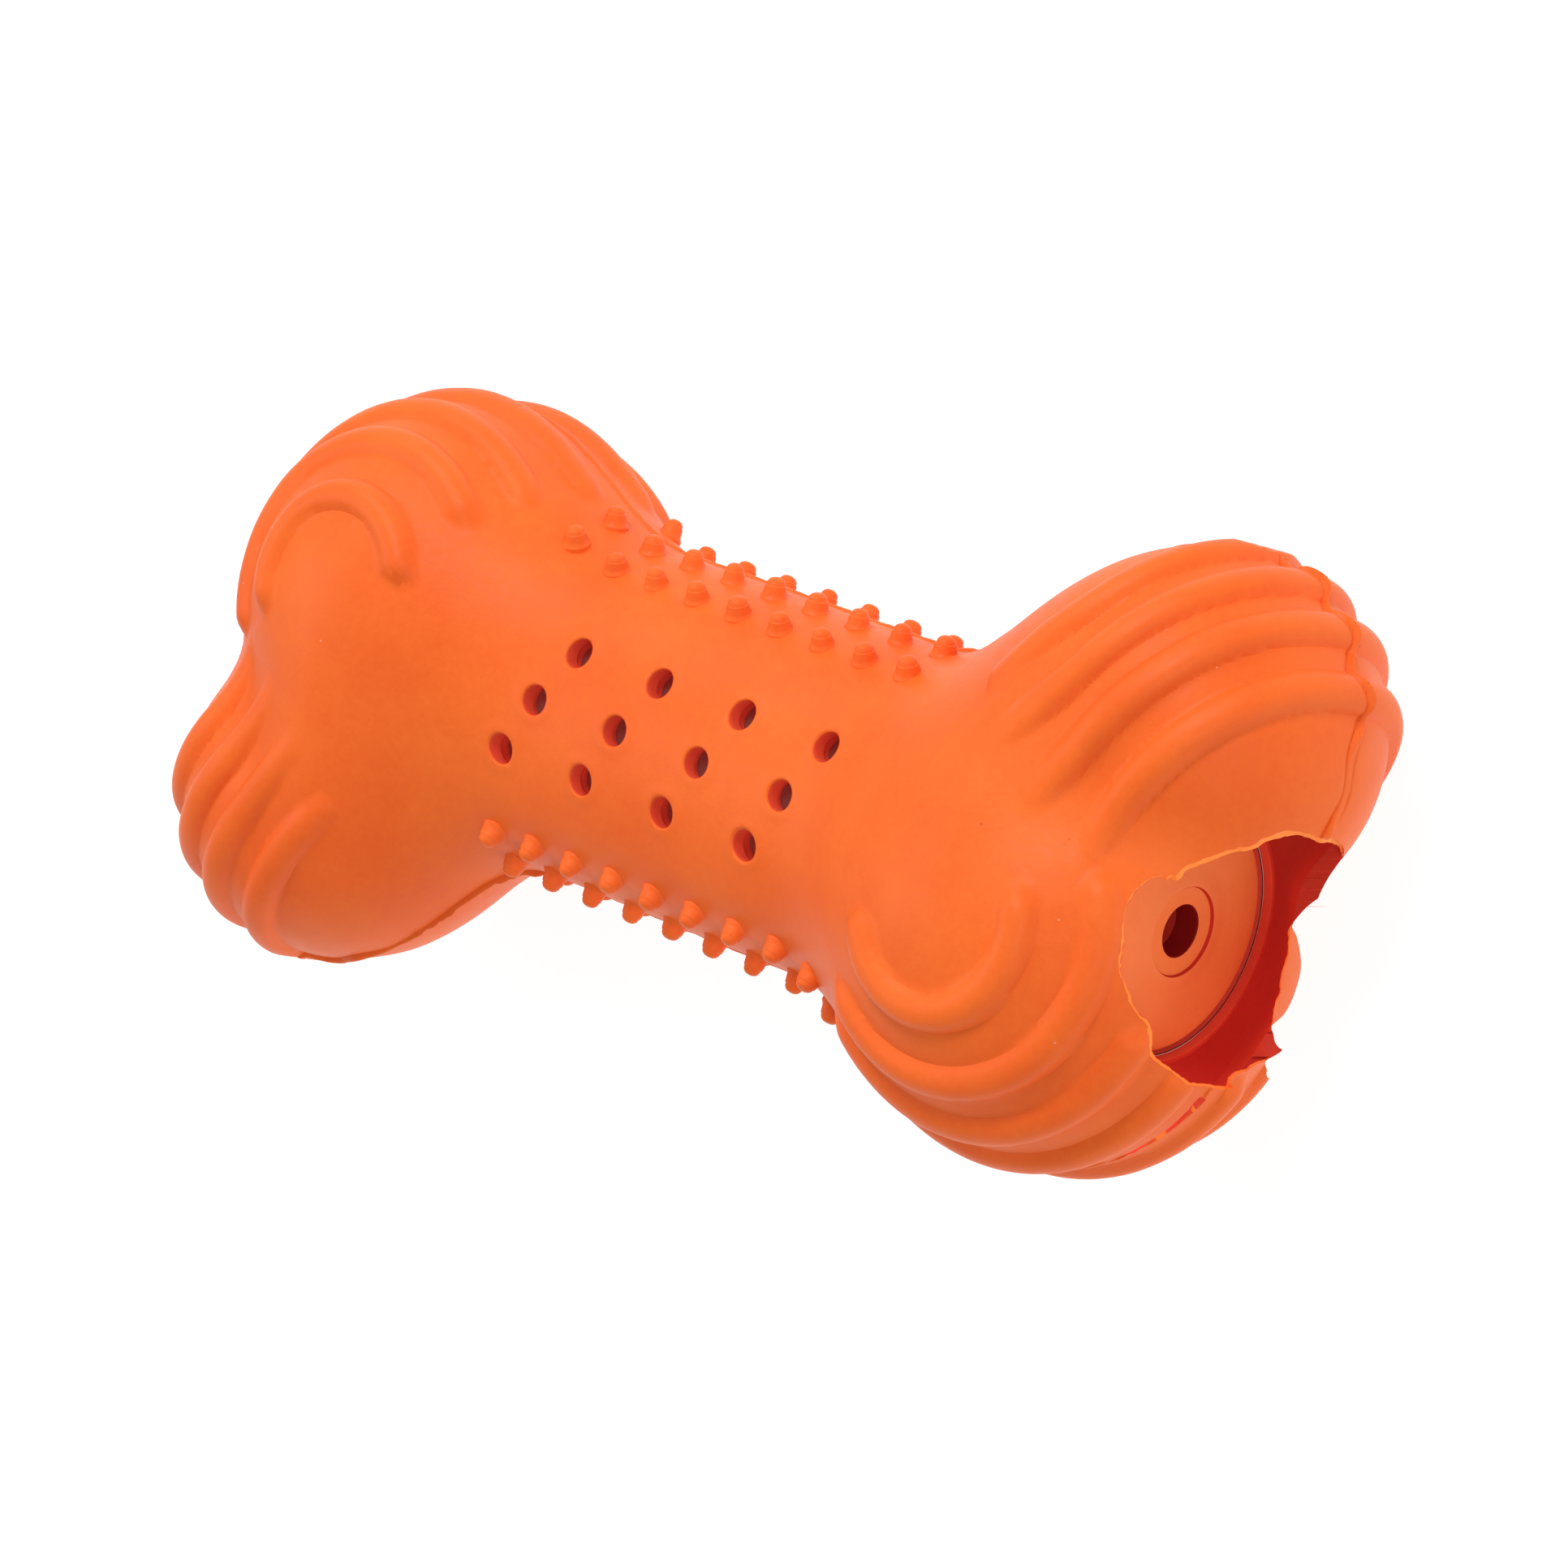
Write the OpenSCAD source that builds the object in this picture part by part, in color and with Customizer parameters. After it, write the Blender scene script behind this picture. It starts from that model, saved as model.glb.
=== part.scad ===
// Hollow rubber bone for a dog, with a crackling tube held inside it.
// X runs along the bone and Z is up. The origin is on the floor, under the middle of the bone.
// Each end has a big lobe and a small one, and the two ends match by half a turn about Z.
// Two moulded half shells meet at the middle height. A cut mouth at the +X end shows the tube's end.

/* [Big lobes] */
// Radius of each big lobe, between its ribs
big_r = 17.2; // [16.9:0.1:18.5]
// Distance from the insert's end back to the centre of a big lobe
big_end_gap = 10.5; // [9:0.5:12]
// Centre of a big lobe, across the bone from the middle
big_y = 3.5; // [2.5:0.1:4.5]

/* [Small lobes] */
// Radius of each small lobe, between its ribs
small_r = 14; // [13:0.1:15]
// Distance from the insert's end back to the centre of a small lobe
small_end_gap = 4.2; // [3:0.2:5]
// Centre of a small lobe, across the bone from the middle
small_y = 14.3; // [13:0.1:16]

/* [Shaft] */
// Width of the oval shaft
shaft_w = 28.1; // [27:0.1:30]
// Height of the oval shaft
shaft_h = 23.4; // [22:0.1:26]
// Softness of the neck between the shaft and a big lobe
neck_blend = 7.6; // [4:0.1:10]
// Softness of the armpit between the shaft and a small lobe
armpit_blend = 11.4; // [8:0.1:13]
// Softness of the crotch between the two lobes of an end
crotch_blend = 3.3; // [2:0.1:5]

/* [Rubber] */
// Thickness of the moulded rubber
wall = 1.2; // [1:0.1:1.6]

/* [Ribs on the lobes] */
// Width of a rib at its foot
rib_w = 2.9; // [2.2:0.1:3.2]
// Height of a rib above the lobe
rib_h = 0.85; // [0.5:0.05:1]
// Distance between the ribs of a small lobe
small_rib_pitch = 4.6; // [4:0.1:5]
// Distance of the small lobe's middle pair of ribs from its centre
small_rib_shift = 0.7; // [0:0.1:1.5]

/* [Nubs on the shaft] */
// Width of a nub at its foot
nub_d = 1.9; // [1.4:0.1:2.4]
// Height of a nub above the shaft
nub_h = 1.4; // [0.8:0.1:1.8]
// Distance between the nubs of a row
nub_pitch = 4.5; // [4:0.1:5]
// Number of nubs in a row
nub_count = 9; // [7:1:9]

/* [Sound holes] */
// Bore of a sound hole
hole_d = 2.3; // [1.6:0.1:3]
// Distance between the holes of a row
hole_pitch = 8.95; // [8:0.05:9.5]
// Distance between the rows
hole_row_gap = 4.65; // [4:0.05:4.8]
// Shift of each row against the next
hole_stagger = 2.5; // [1.5:0.1:3.5]
// How much wider the sleeve's holes are than the shell's
hole_ease = 0.4; // [0.2:0.1:0.8]

/* [Mouth] */
// Half width of the ragged mouth
mouth_r = 11; // [10:0.1:11.5]
// How far the mouth's cut starts behind the insert's end
mouth_depth = 3; // [2:0.5:6]

/* [Insert] */
// Length of the rubber sleeve, which the lobes follow
sleeve_length = 90; // [84:0.5:96]
// Thickness of the sleeve
sleeve_wall = 0.45; // [0.4:0.05:0.8]
// Play between the shell and the sleeve
sleeve_play = 0.05; // [0.02:0.01:0.2]
// Thickness of the clear crackling tube
tube_wall = 0.2; // [0.15:0.05:0.4]
// Play between the sleeve and the tube, and between the tube and its discs
tube_play = 0.05; // [0.02:0.01:0.1]
// How far the tube and the discs lie behind the sleeve's ends
tube_inset = 0.7; // [0.3:0.1:1.5]
// Thickness of an end disc
disc_t = 2; // [1.2:0.1:3]
// Bore in the middle of an end disc
disc_bore_d = 4; // [3:0.1:5]
// Diameter of the low ring round that bore
disc_ring_d = 7; // [5.6:0.1:8]
// Height of that ring
disc_ring_h = 0.4; // [0.2:0.1:0.6]
// Width of the slope at a disc's edge
disc_chamfer = 0.4; // [0.2:0.1:0.8]

/* [Hidden] */
rubber = [0.96, 0.36, 0.16];
clear_plastic = [0.85, 0.87, 0.88, 0.4];
overrun = 1;
$fn = 72;

// The bone's outside as one field, below zero inside the rubber
big_x = sleeve_length / 2 - big_end_gap;
small_x = sleeve_length / 2 - small_end_gap;
big_centre = [big_x, -big_y];
small_centre = [small_x, small_y];
shaft_half_w = shaft_w / 2;
shaft_half_h = shaft_h / 2;
shaft_end_share = 0.1;
crotch_from_share = -0.12;
crotch_to_share = 0.54;

function smooth_min(a, b, k) =
    let (h = max(k - abs(a - b), 0) / k)
    min(a, b) - h * h * k / 4;

function smooth_step(from, to, v) =
    let (t = min(max((v - from) / (to - from), 0), 1))
    t * t * (3 - 2 * t);

// Half a turn about Z brings either end onto the +X end, which is the one described
function bone_field(p) =
    let (
        side = p.x < 0 ? -1 : 1,
        x = p.x * side,
        y = p.y * side,
        big = norm([x - big_centre.x, y - big_centre.y, p.z]) - big_r,
        small = norm([x - small_centre.x, y - small_centre.y, p.z]) - small_r,
        past_end = max(x - big_x - big_r * shaft_end_share, 0),
        oval = norm([y / shaft_half_w, p.z / shaft_half_h, past_end / shaft_half_w]),
        shaft = (oval - 1) * shaft_half_h,
        crotch = smooth_step(big_x + big_r * crotch_from_share, big_x + big_r * crotch_to_share, x),
        blend = armpit_blend + (crotch_blend - armpit_blend) * crotch
    )
    smooth_min(smooth_min(shaft, big, neck_blend), small, blend);

// Distance from a point inside the bone to its surface, or to a surface deeper by inset
halvings = 16;
reach_limit = big_r + small_r;

function reach(from, along, inset, low = 0, high = reach_limit, left = halvings) =
    let (middle = (low + high) / 2)
    left == 0 ? middle
    : bone_field(from + along * middle) + inset < 0 ? reach(from, along, inset, middle, high, left - 1)
    : reach(from, along, inset, low, middle, left - 1);

// A spine runs from the middle through the big lobe's centre to the small lobe's centre.
// Going once round the outline, each stop has a ray that finds the outline, and a place on the spine.
shaft_steps = 8;
shaft_reach_share = 0.7;
link_steps = 4;
neck_place = shaft_steps + 1;
big_place = neck_place + 1;
small_place = big_place + link_steps;
big_fan = [240, 383];
small_fan = [-46, 160];
armpit_steps = small_place - neck_place;

function shaft_x(i) = big_x * shaft_reach_share * i / shaft_steps;
function lerp(a, b, t) = a + (b - a) * t;

spine = concat(
    [for (i = [0 : shaft_steps]) [shaft_x(i), 0]],
    [lerp([shaft_x(shaft_steps), 0], big_centre, 1 / 2)],
    [for (i = [0 : link_steps]) lerp(big_centre, small_centre, i / link_steps)]
);

function heading(a) = [cos(a), sin(a), 0];

// Each stop is [ray start, ray angle, place on the spine]
function end_stops(big_steps, small_steps) = concat(
    [for (i = [0 : shaft_steps]) [[shaft_x(i), 0], -90, i]],
    [for (i = [0 : big_steps]) [
        big_centre,
        lerp(big_fan[0], big_fan[1], i / big_steps),
        i == 0 ? neck_place : max(big_place, big_place + i - big_steps + 2)
    ]],
    [for (i = [0 : small_steps]) [
        small_centre,
        lerp(small_fan[0], small_fan[1], i / small_steps),
        i == 0 ? small_place - 1 : min(small_place, small_place - i + small_steps - armpit_steps)
    ]],
    [for (i = [shaft_steps : -1 : 1]) [[shaft_x(i), 0], 90, i]]
);

// The upper half of the bone, or of its hollow, going down a little past the seam
module half_bone(inset, big_steps, small_steps, rings, ring_angle) {
    stops = end_stops(big_steps, small_steps);
    half = len(stops);
    count = 2 * half;
    places = [for (i = [0 : count - 1])
        let (place = stops[i % half][2])
        i < half || place == 0 ? place : place + small_place
    ];
    rim = [for (i = [0 : count - 1])
        let (
            turn = i < half ? 1 : -1,
            stop = stops[i % half],
            start = [stop[0].x * turn, stop[0].y * turn, 0],
            along = heading(stop[1]) * turn
        )
        start + along * reach(start, along, inset)
    ];
    spine_points = concat(spine, [for (i = [1 : small_place]) -spine[i]]);
    grid = [for (i = [0 : count - 1])
        for (k = [0 : rings - 1])
            let (
                foot = [spine_points[places[i]].x, spine_points[places[i]].y, 0],
                flat_point = lerp(foot, rim[i], cos(ring_angle * k))
            )
            k == 0 ? rim[i] : flat_point + [0, 0, reach(flat_point, [0, 0, 1], inset)]
    ];
    ridge = [for (p = spine_points) [p.x, p.y, reach([p.x, p.y, 0], [0, 0, 1], inset)]];
    skirt = [for (p = rim) p - [0, 0, overrun]];
    ridge_start = len(grid);
    skirt_start = ridge_start + len(ridge);
    sides = [for (i = [0 : count - 1])
        let (j = (i + 1) % count)
        for (k = [0 : rings - 2])
            each [
                [i * rings + k, i * rings + k + 1, j * rings + k],
                [j * rings + k, i * rings + k + 1, j * rings + k + 1]
            ]
    ];
    top = [for (i = [0 : count - 1])
        let (
            j = (i + 1) % count,
            low_i = (i + 1) * rings - 1,
            low_j = (j + 1) * rings - 1,
            top_i = ridge_start + places[i],
            top_j = ridge_start + places[j]
        )
        each concat(
            [[low_i, top_i, low_j]],
            top_i == top_j ? [] : [[low_j, top_i, top_j]]
        )
    ];
    skirts = [for (i = [0 : count - 1])
        let (j = (i + 1) % count)
        each [
            [skirt_start + i, i * rings, skirt_start + j],
            [skirt_start + j, i * rings, j * rings]
        ]
    ];
    floor = [[for (i = [0 : count - 1]) skirt_start + i]];
    polyhedron(points = concat(grid, ridge, skirt), faces = concat(sides, top, skirts, floor));
}

// A rib is part of a round cord, sunk so that rib_w of it shows, rib_h high
cord_r = (rib_h * rib_h + rib_w * rib_w / 4) / (2 * rib_h);
cord_depth = cord_r - rib_h;
cord_sides = 6;
cord_end_sides = 8;
arc_sides = 30;

module arc_rib(radius, from, to) {
    rotate([0, 0, from])
        rotate_extrude(angle = to - from, $fn = arc_sides)
            translate([radius, 0])
                circle(r = cord_r, $fn = cord_sides);
    for (end = [from, to])
        rotate([0, 0, end])
            translate([radius, 0, 0])
                rotate(180 / cord_end_sides)
                    sphere(r = cord_r, $fn = cord_end_sides);
}

// Angle down from the top of a big lobe, then the rib's first and last angle round it
big_ribs = [[25, 206, 399], [45, 213, 397], [62, 216, 351], [79.5, 216, 345]];

module big_lobe_ribs() {
    lie_r = big_r - cord_depth;
    translate([big_centre.x, big_centre.y, 0])
        for (rib = big_ribs)
            translate([0, 0, lie_r * cos(rib[0])])
                arc_rib(lie_r * sin(rib[0]), rib[1], rib[2]);
}

// The small lobe's ribs lie in upright planes, and start with a blunt end on its top
small_ribs_turn = -30.6;
small_rib_start_share = 0.49;
small_rib_foot = -12;
small_rib_steps = [-3, -1, 1, 3];

module small_lobe_ribs() {
    lie_r = small_r - cord_depth;
    translate([small_centre.x, small_centre.y, 0])
        rotate([0, 0, small_ribs_turn])
            for (step = small_rib_steps) {
                off = step * small_rib_pitch / 2 + small_rib_shift;
                arc_r = sqrt(lie_r * lie_r - off * off);
                translate([off, 0, 0])
                    rotate([90, 0, 90])
                        arc_rib(arc_r, small_rib_foot, acos(-small_r * small_rib_start_share / arc_r));
            }
}

// A nub is a cone with a round tip, standing square to the rubber
nub_tip_r = nub_d / 4;
nub_sides = 5;

module nub(x, angle) {
    out = [0, cos(angle), sin(angle)];
    foot = [x, 0, 0] + out * reach([x, 0, 0], out, 0);
    translate(foot)
        rotate([angle - 90, 0, 0])
            hull() {
                translate([0, 0, -wall / 2])
                    cylinder(d = nub_d, h = wall / 2, $fn = nub_sides);
                translate([0, 0, nub_h - nub_tip_r])
                    sphere(r = nub_tip_r, $fn = nub_sides);
            }
}

// Two rows beside the seam, on both sides of the shaft
nub_row_angles = [13, 30];
nub_first_x = -nub_pitch * (nub_count - 1) / 2;

module nubs() {
    for (i = [0 : nub_count - 1], angle = nub_row_angles) {
        x = nub_first_x + i * nub_pitch;
        nub(x, angle);
        nub(x, 180 - angle);
    }
}

// Three staggered rows of sound holes, in line through shell and sleeve
hole_rows = [1, 0, -1];
hole_columns = 4;
hole_sides = 16;
hole_turn = 7;

module sound_holes(bore_d) {
    for (row = hole_rows)
        for (i = [0 : hole_columns - 1])
            translate([(i - (hole_columns - 1) / 2) * hole_pitch + row * hole_stagger, row * hole_row_gap, 0])
                rotate(hole_turn)
                    cylinder(d = bore_d, h = reach_limit, $fn = hole_sides);
}

// Outline of the ragged mouth, seen from its end, as shares of its half width
mouth_share = [
    [0.94, -0.10], [0.89, -0.36], [0.82, -0.69], [0.52, -0.82], [0.33, -0.61], [0.23, -0.49],
    [0.05, -0.44], [-0.17, -0.47], [-0.45, -0.56], [-0.75, -0.45], [-0.88, -0.24], [-0.95, 0.13],
    [-0.84, 0.56], [-0.55, 0.82], [-0.20, 1.00], [0.21, 1.05], [0.31, 0.96], [0.45, 0.78],
    [0.56, 0.65], [0.73, 0.45], [0.87, 0.20]
];
mouth_x = sleeve_length / 2 - mouth_depth;

module mouth() {
    translate([mouth_x, 0, 0])
        rotate([90, 0, 90])
            linear_extrude(small_x + small_r - mouth_x + overrun)
                polygon(mouth_share * mouth_r);
}

// Both shells lie round the bone's own middle here, and are raised to the floor at the end
outer_steps = [14, 20];
outer_rings = 6;
outer_ring_angle = 15;
inner_steps = [10, 14];
inner_rings = 4;
inner_ring_angle = 25;
below = [2 * (small_x + small_r), 2 * (small_y + small_r), small_r] + overrun * [2, 2, 2];

module half_shell(upper) {
    difference() {
        union() {
            half_bone(0, outer_steps[0], outer_steps[1], outer_rings, outer_ring_angle);
            for (turn = [0, 180])
                rotate([0, 0, turn]) {
                    big_lobe_ribs();
                    small_lobe_ribs();
                }
            nubs();
        }
        half_bone(wall, inner_steps[0], inner_steps[1], inner_rings, inner_ring_angle);
        sound_holes(hole_d);
        mirror([0, 0, upper ? 0 : 1])
            mouth();
        translate([-below.x / 2, -below.y / 2, -below.z])
            cube(below);
    }
}

// The insert lies along X, on the bone's middle
// It is as wide as the flats of the hollow leave room for
hollow_share = 1 - wall / shaft_half_h;
top_flat_angle = 90 - inner_ring_angle * (inner_rings - 1);
room_up = shaft_half_h * hollow_share * cos(top_flat_angle / 2);
room_across = shaft_half_w * hollow_share * cos(inner_ring_angle / 2);
sleeve_r = min(room_up, room_across) - sleeve_play;
tube_r = sleeve_r - sleeve_wall - tube_play;
tube_l = sleeve_length - 2 * tube_inset;
disc_r = tube_r - tube_wall - tube_play;

module along_x(length)
    rotate([0, 90, 0])
        translate([0, 0, -length / 2])
            children();

module ring_tube(outer_r, thickness, length)
    along_x(length)
        difference() {
            cylinder(r = outer_r, h = length);
            translate([0, 0, -overrun])
                cylinder(r = outer_r - thickness, h = length + 2 * overrun);
        }

module end_disc()
    rotate([0, 90, 0])
        translate([0, 0, tube_l / 2 - disc_t])
            rotate_extrude()
                polygon([
                    [disc_bore_d / 2, 0],
                    [disc_r, 0],
                    [disc_r, disc_t - disc_chamfer],
                    [disc_r - disc_chamfer, disc_t],
                    [disc_ring_d / 2, disc_t],
                    [disc_ring_d / 2, disc_t + disc_ring_h],
                    [disc_bore_d / 2, disc_t + disc_ring_h]
                ]);

rest_h = max([for (p = spine) reach([p.x, p.y, 0], [0, 0, 1], 0)]);

module raised()
    translate([0, 0, rest_h])
        children();

module upper_shell()
    color(rubber)
        raised()
            half_shell(true);

module lower_shell()
    color(rubber)
        raised()
            mirror([0, 0, 1])
                half_shell(false);

module inner_sleeve()
    color(rubber)
        raised()
            difference() {
                ring_tube(sleeve_r, sleeve_wall, sleeve_length);
                for (flip = [0, 1])
                    mirror([0, 0, flip])
                        sound_holes(hole_d + hole_ease);
            }

module crackle_tube()
    color(clear_plastic)
        raised()
            ring_tube(tube_r, tube_wall, tube_l);

module open_end_disc()
    color(rubber)
        raised()
            end_disc();

module closed_end_disc()
    color(rubber)
        raised()
            rotate([0, 0, 180])
                end_disc();

upper_shell();
lower_shell();
inner_sleeve();
crackle_tube();
open_end_disc();
closed_end_disc();
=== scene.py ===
"""Looks of the hollow rubber bone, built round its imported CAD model.

Lengths are in millimetres and angles in degrees until a mesh is done. The bone's own middle is the
origin while it is built, X runs along it and Z is up. hand_over() scales a mesh to metres and lifts it
to its place.
"""
import math

import bmesh
import bpy
import numpy as np
from mathutils import Matrix, Vector
from mathutils.geometry import tessellate_polygon


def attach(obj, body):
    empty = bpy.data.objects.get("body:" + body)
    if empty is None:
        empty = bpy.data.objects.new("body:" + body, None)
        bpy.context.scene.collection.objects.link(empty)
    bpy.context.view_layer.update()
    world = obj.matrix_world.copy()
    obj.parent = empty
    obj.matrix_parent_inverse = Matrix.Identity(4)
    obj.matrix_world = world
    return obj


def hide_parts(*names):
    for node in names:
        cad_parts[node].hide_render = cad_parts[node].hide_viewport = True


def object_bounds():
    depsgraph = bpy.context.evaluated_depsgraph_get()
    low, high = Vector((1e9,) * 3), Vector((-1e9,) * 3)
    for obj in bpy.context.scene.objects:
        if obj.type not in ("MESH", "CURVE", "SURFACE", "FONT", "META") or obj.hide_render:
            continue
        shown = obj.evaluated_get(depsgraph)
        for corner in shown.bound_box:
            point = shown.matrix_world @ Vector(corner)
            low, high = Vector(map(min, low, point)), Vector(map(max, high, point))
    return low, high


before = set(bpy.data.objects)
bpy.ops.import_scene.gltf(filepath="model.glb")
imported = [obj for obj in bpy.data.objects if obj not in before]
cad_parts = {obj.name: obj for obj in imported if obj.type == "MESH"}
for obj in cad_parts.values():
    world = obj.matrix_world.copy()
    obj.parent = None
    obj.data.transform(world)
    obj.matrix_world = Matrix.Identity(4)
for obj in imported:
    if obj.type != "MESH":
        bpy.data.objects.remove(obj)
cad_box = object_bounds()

MM = 0.001
REST_H = (cad_box[0][2] + cad_box[1][2]) / 2 / MM
BOX_X, BOX_Y = cad_box[1][0] / MM - 0.01, cad_box[1][1] / MM - 0.01
BOX_Z = REST_H - 0.005
UP = np.array([0, 0, 1.0])
TINY = 1e-9

# The bone, as in the CAD source
BIG_R, BIG_C = 17.2, (34.5, -3.5)
SMALL_R, SMALL_C = 14.0, (40.8, 14.3)
SHAFT_Y, SHAFT_Z = 14.05, 11.7
NECK_K, ARMPIT_K, CROTCH_K = 7.6, 11.4, 3.3
WALL = 1.2
HOLE_R = 1.15
HOLE_PITCH, HOLE_GAP, HOLE_STAGGER = 8.95, 4.65, 2.5
NUB_H, NUB_PITCH, NUB_COUNT, NUB_ANGLES = 1.4, 4.5, 9, (13, 30)
SLEEVE_R, SLEEVE_IN, SLEEVE_HALF = 10.36, 9.91, 45.0
TUBE_IN, TUBE_HALF = 9.66, 44.3
DISC_R, DISC_T, BORE_R, RING_R, RING_H = 9.61, 2.0, 2.0, 3.5, 0.4

# The camera: its axes and its place. The numbers are the result of a fit, run apart from this script, to
# places read off the photograph: the holes, the shaft, the outline and the insert's round face
CAM_RIGHT = np.array([0.72098, 0.28871, -0.62994])
CAM_UP = np.array([-0.27899, 0.95308, 0.11751])
CAM_BACK = np.array([0.63431, 0.09103, 0.76771])
CAM_AT = np.array([284.46, 39.82, 339.56])
IMAGE, FOCAL = 1932, 6937


# ---------------------------------------------------------------- shape of the bone

def smooth_min(a, b, k):
    h = np.maximum(k - np.abs(a - b), 0) / k
    return np.minimum(a, b) - h * h * k / 4


def smooth_step(lo, hi, v):
    t = np.clip((v - lo) / (hi - lo), 0, 1)
    return t * t * (3 - 2 * t)


def lerp(a, b, t):
    return a + (b - a) * t


def unit(v):
    return v / np.maximum(np.linalg.norm(v, axis=-1, keepdims=True), TINY)


def end_frame(p):
    """Half a turn about Z brings either end onto the +X end."""
    side = np.where(p[..., 0] < 0, -1.0, 1.0)
    return p * np.stack([side, side, np.ones_like(side)], -1)


def field(p):
    """Below zero inside the rubber, above zero outside, near to a distance."""
    q = end_frame(p)
    x, y, z = q[..., 0], q[..., 1], q[..., 2]
    big = np.sqrt((x - BIG_C[0]) ** 2 + (y - BIG_C[1]) ** 2 + z * z) - BIG_R
    small = np.sqrt((x - SMALL_C[0]) ** 2 + (y - SMALL_C[1]) ** 2 + z * z) - SMALL_R
    past = np.maximum(x - BIG_C[0] - BIG_R * 0.1, 0)
    shaft = (np.sqrt((y / SHAFT_Y) ** 2 + (z / SHAFT_Z) ** 2 + (past / SHAFT_Y) ** 2) - 1) * SHAFT_Z
    crotch = smooth_step(BIG_C[0] - BIG_R * 0.12, BIG_C[0] + BIG_R * 0.54, x)
    blend = ARMPIT_K + (CROTCH_K - ARMPIT_K) * crotch
    return smooth_min(smooth_min(shaft, big, NECK_K), small, blend)


def normals(p):
    step = 0.02
    return unit(np.stack([field(p + step * e) - field(p - step * e) for e in np.eye(3)], -1))


def reach(start, along, inset):
    """How far from each start the surface lies, inset deep."""
    halvings = 24
    lo = np.zeros(len(start))
    hi = np.full(len(start), BIG_R + SMALL_R)
    for _ in range(halvings):
        mid = (lo + hi) / 2
        inside = field(start + along * mid[:, None]) + inset < 0
        lo = np.where(inside, mid, lo)
        hi = np.where(inside, hi, mid)
    return (lo + hi) / 2


def reach_up(start, inset):
    return reach(start, np.tile(UP, (len(start), 1)), inset)


def hash_noise(p, scale, seed):
    """Smooth repeatable noise in -1..1, one value for each point."""
    q = p * scale + seed
    cell = np.floor(q)
    f = q - cell
    f = f * f * (3 - 2 * f)
    weight = (1 - f, f)
    out = 0
    for dx in (0, 1):
        for dy in (0, 1):
            for dz in (0, 1):
                h = np.sin((cell + np.array([dx, dy, dz])) @ np.array([127.1, 311.7, 74.7])) * 43758.5453
                w = weight[dx][:, 0] * weight[dy][:, 1] * weight[dz][:, 2]
                out = out + w * ((h - np.floor(h)) * 2 - 1)
    return out


# ---------------------------------------------------------------- what stands on its surface

# Polar angle on the big lobe, where the rib starts and stops round it, how pointed each end is
BIG_RIBS = [
    (25, 206, 399, 0.0, 3.0),
    (45, 213, 397, 4.0, 3.0),
    (62, 216, 351, 4.0, 3.0),
    (79.5, 216, 345, 4.0, 3.0),
]
# Place of the rib's plane on the small lobe, and how far back it starts
SMALL_RIBS = [(-6.2, -5.6), (-1.6, -6.9), (2.95, -6.9), (7.6, -6.9)]
SMALL_N = np.array([0.8607, -0.5090, 0.0])
SMALL_M = np.array([0.5090, 0.8607, 0.0])
SMALL_LEAN = 0.095
SMALL_TAPER = (1.5, 1.5)
RIB_W, RIB_H = 2.8, 1.05
RIB_SINK = 0.3      # how fast a rib goes under where the rubber stands proud of its lobe
RIB_FLANK = 1.2     # how much broader its softer flank is
RIB_SOFT = 0.25     # the fillet at its foot
# A cord's section is round up to the first share of its radius, and has a straight flank beyond it
ARC_END, ARC_LEFT, ARC_SLOPE = 0.93, 0.3676, 2.53
RIBS_FROM_X = 14


def rib_profile(s, proud):
    """Height of a round cord sunk in the lobe. s is the distance across, below zero on its softer flank."""
    radius = (RIB_H * RIB_H + RIB_W * RIB_W / 4) / (2 * RIB_H)
    d = np.abs(np.where(s < 0, s / RIB_FLANK, s))
    flank = radius * (ARC_LEFT - (d / radius - ARC_END) * ARC_SLOPE)
    arc = np.where(d < radius * ARC_END, np.sqrt(np.maximum(radius ** 2 - d ** 2, 0)), flank)
    bare = arc - (radius - RIB_H) - np.maximum(proud, 0)
    h = np.maximum(RIB_SOFT - np.abs(bare), 0) / RIB_SOFT
    return np.maximum(bare, 0) + h * h * RIB_SOFT / 4


def lobe_rib(q, centre, radius, axis, first, polar, turn_from, turn_to, taper, lean=0.0, flank=1):
    """Height of one rib that runs round axis on a lobe. first is where its turn counts from."""
    d = q - np.array([centre[0], centre[1], 0])
    r = np.linalg.norm(d, axis=1)
    u = d / r[:, None]
    second = np.cross(axis, first)
    ca = u @ axis
    if lean:
        ca = ca + lean * np.abs(u[:, 2])
    alpha = np.arccos(np.clip(ca, -1, 1))
    phi = np.degrees(np.arctan2(u @ second, u @ first))
    mid, half = (turn_from + turn_to) / 2, (turn_to - turn_from) / 2
    off = (phi - mid + 180) % 360 - 180
    across = radius * (alpha - math.radians(polar))
    arc_r = radius * math.sin(math.radians(polar))
    over = np.maximum(np.abs(off) - half, 0) * math.pi / 180 * arc_r
    inside = np.maximum(half - np.abs(off), 0) * math.pi / 180 * arc_r
    s = np.where(across < 0, -1.0, 1.0) * np.hypot(across, over)
    taper_here = np.where(off < 0, taper[0], taper[1])
    risen = smooth_step(0, 1, (inside + 0.6) / np.maximum(taper_here, 1e-6))
    strength = np.where(taper_here > 0, risen, 1.0)
    proud = (r - radius) * RIB_SINK + (1 - strength) * RIB_H * 1.15
    return rib_profile(s * flank, proud)


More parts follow.
